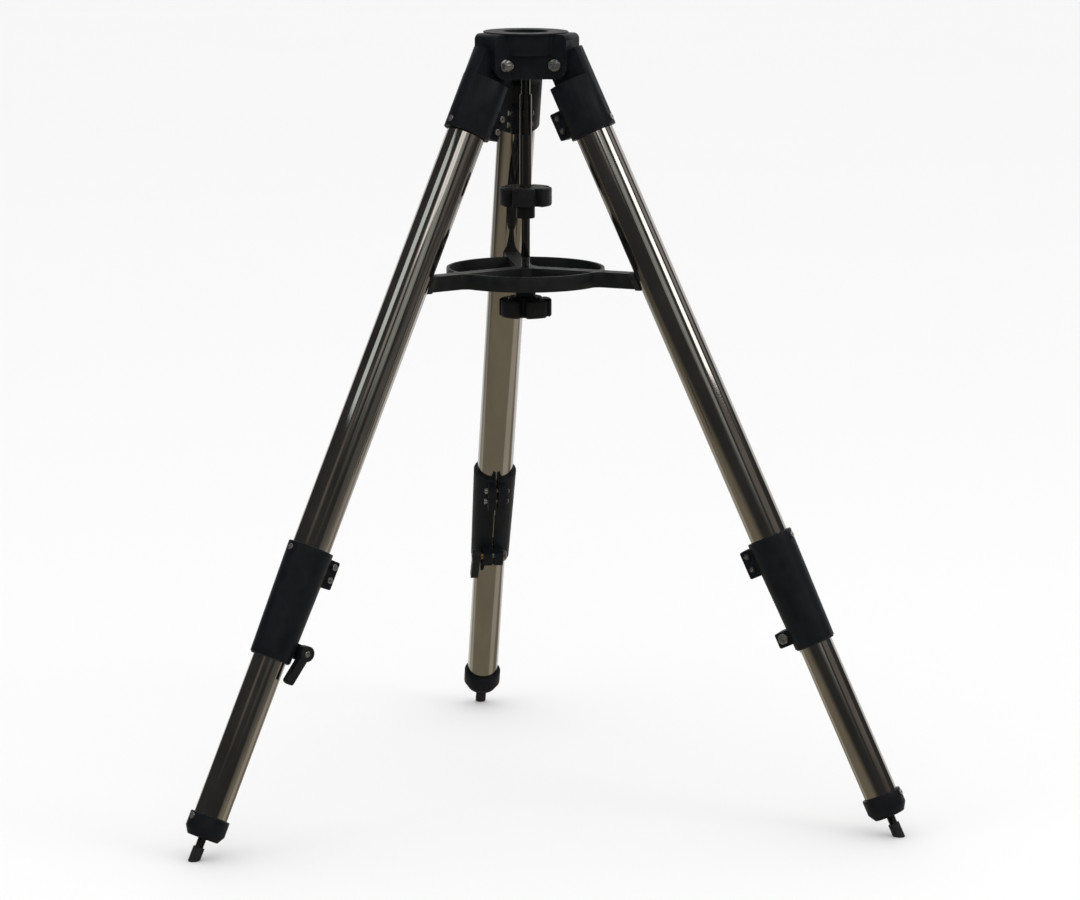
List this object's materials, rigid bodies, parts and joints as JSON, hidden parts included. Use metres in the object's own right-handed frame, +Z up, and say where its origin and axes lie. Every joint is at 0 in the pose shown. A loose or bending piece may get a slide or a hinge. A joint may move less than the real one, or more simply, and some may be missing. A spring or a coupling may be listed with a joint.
{
  "type": "telescope mount field tripod",
  "caption": "Field tripod for an alt-azimuth telescope mount: polished telescoping legs folding on a cast head, clamp levers, a central mounting rod with star knobs and a spreader tray.",
  "frame": {"origin": "centre of the head's flat top face, where the telescope mount sits", "axes": "+Z up out of the head along the central rod; one leg points along +Y, the others at 210 and 330 degrees; the feet stand 1041.5 mm below the origin"},
  "size_m": [0.9444, 0.8266, 1.0415],
  "materials": {
    "painted_castings": "blue-black satin paint with a fine texture",
    "polished_steel_tube": "polished stainless steel",
    "bright_steel": "zinc plated",
    "brass": "turned brass",
    "black_plastic": "black moulded plastic, fine matte grain",
    "black_rubber": "matte black rubber",
    "bearing_plastic": "dark grey acetal"
  },
  "bodies": {
    "head": {"head_casting": "painted_castings", "hinge_bolts": "bright_steel", "hinge_nuts": "bright_steel", "hinge_washers": "bright_steel"},
    "leg_1": {"leg_bracket_1": "painted_castings", "hinge_bush_1": "bearing_plastic", "upper_tube_1": "polished_steel_tube", "collar_1": "painted_castings", "collar_liner_1": "bearing_plastic", "leg_screws_1": "bright_steel", "leg_nuts_1": "bright_steel", "clamp_bolt_1": "bright_steel"},
    "lower_leg_1": {"lower_tube_1": "polished_steel_tube", "guide_bush_1": "bearing_plastic", "foot_cap_1": "painted_castings", "foot_rod_1": "bright_steel", "foot_tip_1": "black_rubber", "foot_screw_1": "bright_steel"},
    "lever_1": {"clamp_lever_1": "black_plastic", "lever_insert_1": "brass"},
    "leg_2": {"leg_bracket_2": "painted_castings", "hinge_bush_2": "bearing_plastic", "upper_tube_2": "polished_steel_tube", "collar_2": "painted_castings", "collar_liner_2": "bearing_plastic", "leg_screws_2": "bright_steel", "leg_nuts_2": "bright_steel", "clamp_bolt_2": "bright_steel"},
    "lower_leg_2": {"lower_tube_2": "polished_steel_tube", "guide_bush_2": "bearing_plastic", "foot_cap_2": "painted_castings", "foot_rod_2": "bright_steel", "foot_tip_2": "black_rubber", "foot_screw_2": "bright_steel"},
    "lever_2": {"clamp_lever_2": "black_plastic", "lever_insert_2": "brass"},
    "leg_3": {"leg_bracket_3": "painted_castings", "hinge_bush_3": "bearing_plastic", "upper_tube_3": "polished_steel_tube", "collar_3": "painted_castings", "collar_liner_3": "bearing_plastic", "leg_screws_3": "bright_steel", "leg_nuts_3": "bright_steel", "clamp_bolt_3": "bright_steel"},
    "lower_leg_3": {"lower_tube_3": "polished_steel_tube", "guide_bush_3": "bearing_plastic", "foot_cap_3": "painted_castings", "foot_rod_3": "bright_steel", "foot_tip_3": "black_rubber", "foot_screw_3": "bright_steel"},
    "lever_3": {"clamp_lever_3": "black_plastic", "lever_insert_3": "brass"},
    "rod_carriage": {"rod_clip": "bright_steel"},
    "rod": {"center_rod": "polished_steel_tube", "rod_knob": "black_plastic"},
    "tray": {"tray": "black_plastic", "tray_pads": "black_rubber", "tray_washer": "bright_steel"},
    "tray_knob": {"tray_knob": "black_plastic", "tray_knob_insert": "brass"}
  },
  "joints": [
    {"name": "leg_1_fold", "type": "hinge", "parent": "head", "child": "leg_1", "pos_m": [-0.04417, -0.0255, -0.042], "axis": [0.5, -0.866, 0], "range_deg": [0, 22.6]},
    {"name": "leg_1_extend", "type": "slide", "parent": "leg_1", "child": "lower_leg_1", "axis": [-0.3742, -0.216, -0.9018], "range_m": [-0.19, 0.255]},
    {"name": "leg_1_clamp", "type": "hinge", "parent": "leg_1", "child": "lever_1", "pos_m": [-0.32515, -0.18772, -0.78583], "axis": [0.5, -0.866, 0], "range_deg": [0, 170]},
    {"name": "leg_2_fold", "type": "hinge", "parent": "head", "child": "leg_2", "pos_m": [0.04417, -0.0255, -0.042], "axis": [0.5, 0.866, 0], "range_deg": [0, 22.6]},
    {"name": "leg_2_extend", "type": "slide", "parent": "leg_2", "child": "lower_leg_2", "axis": [0.3742, -0.216, -0.9018], "range_m": [-0.19, 0.255]},
    {"name": "leg_2_clamp", "type": "hinge", "parent": "leg_2", "child": "lever_2", "pos_m": [0.32515, -0.18772, -0.78583], "axis": [0.5, 0.866, 0], "range_deg": [0, 170]},
    {"name": "leg_3_fold", "type": "hinge", "parent": "head", "child": "leg_3", "pos_m": [0, 0.051, -0.042], "axis": [-1, 0, 0], "range_deg": [0, 22.6]},
    {"name": "leg_3_extend", "type": "slide", "parent": "leg_3", "child": "lower_leg_3", "axis": [0, 0.4321, -0.9018], "range_m": [-0.19, 0.255]},
    {"name": "leg_3_clamp", "type": "hinge", "parent": "leg_3", "child": "lever_3", "pos_m": [0, 0.37545, -0.78583], "axis": [-1, 0, 0], "range_deg": [0, 170]},
    {"name": "rod_lift", "type": "slide", "parent": "head", "child": "rod_carriage", "axis": [0, 0, 1], "range_m": [0, 0.018]},
    {"name": "rod_turn", "type": "hinge", "parent": "rod_carriage", "child": "rod", "pos_m": [0, 0, -0.05], "axis": [0, 0, 1], "continuous": true},
    {"name": "tray_drop", "type": "slide", "parent": "head", "child": "tray", "axis": [0, 0, -1], "range_m": [0, 1.15]},
    {"name": "tray_knob_turn", "type": "hinge", "parent": "tray", "child": "tray_knob", "pos_m": [0, 0, -0.36], "axis": [0, 0, 1], "continuous": true}
  ],
  "couplings": [
    {"joint": "leg_2_fold", "follows": "leg_1_fold", "ratio": 1},
    {"joint": "leg_3_fold", "follows": "leg_1_fold", "ratio": 1},
    {"joint": "tray_drop", "follows": "leg_1_fold", "m_per_rad": 2.8648}
  ]
}
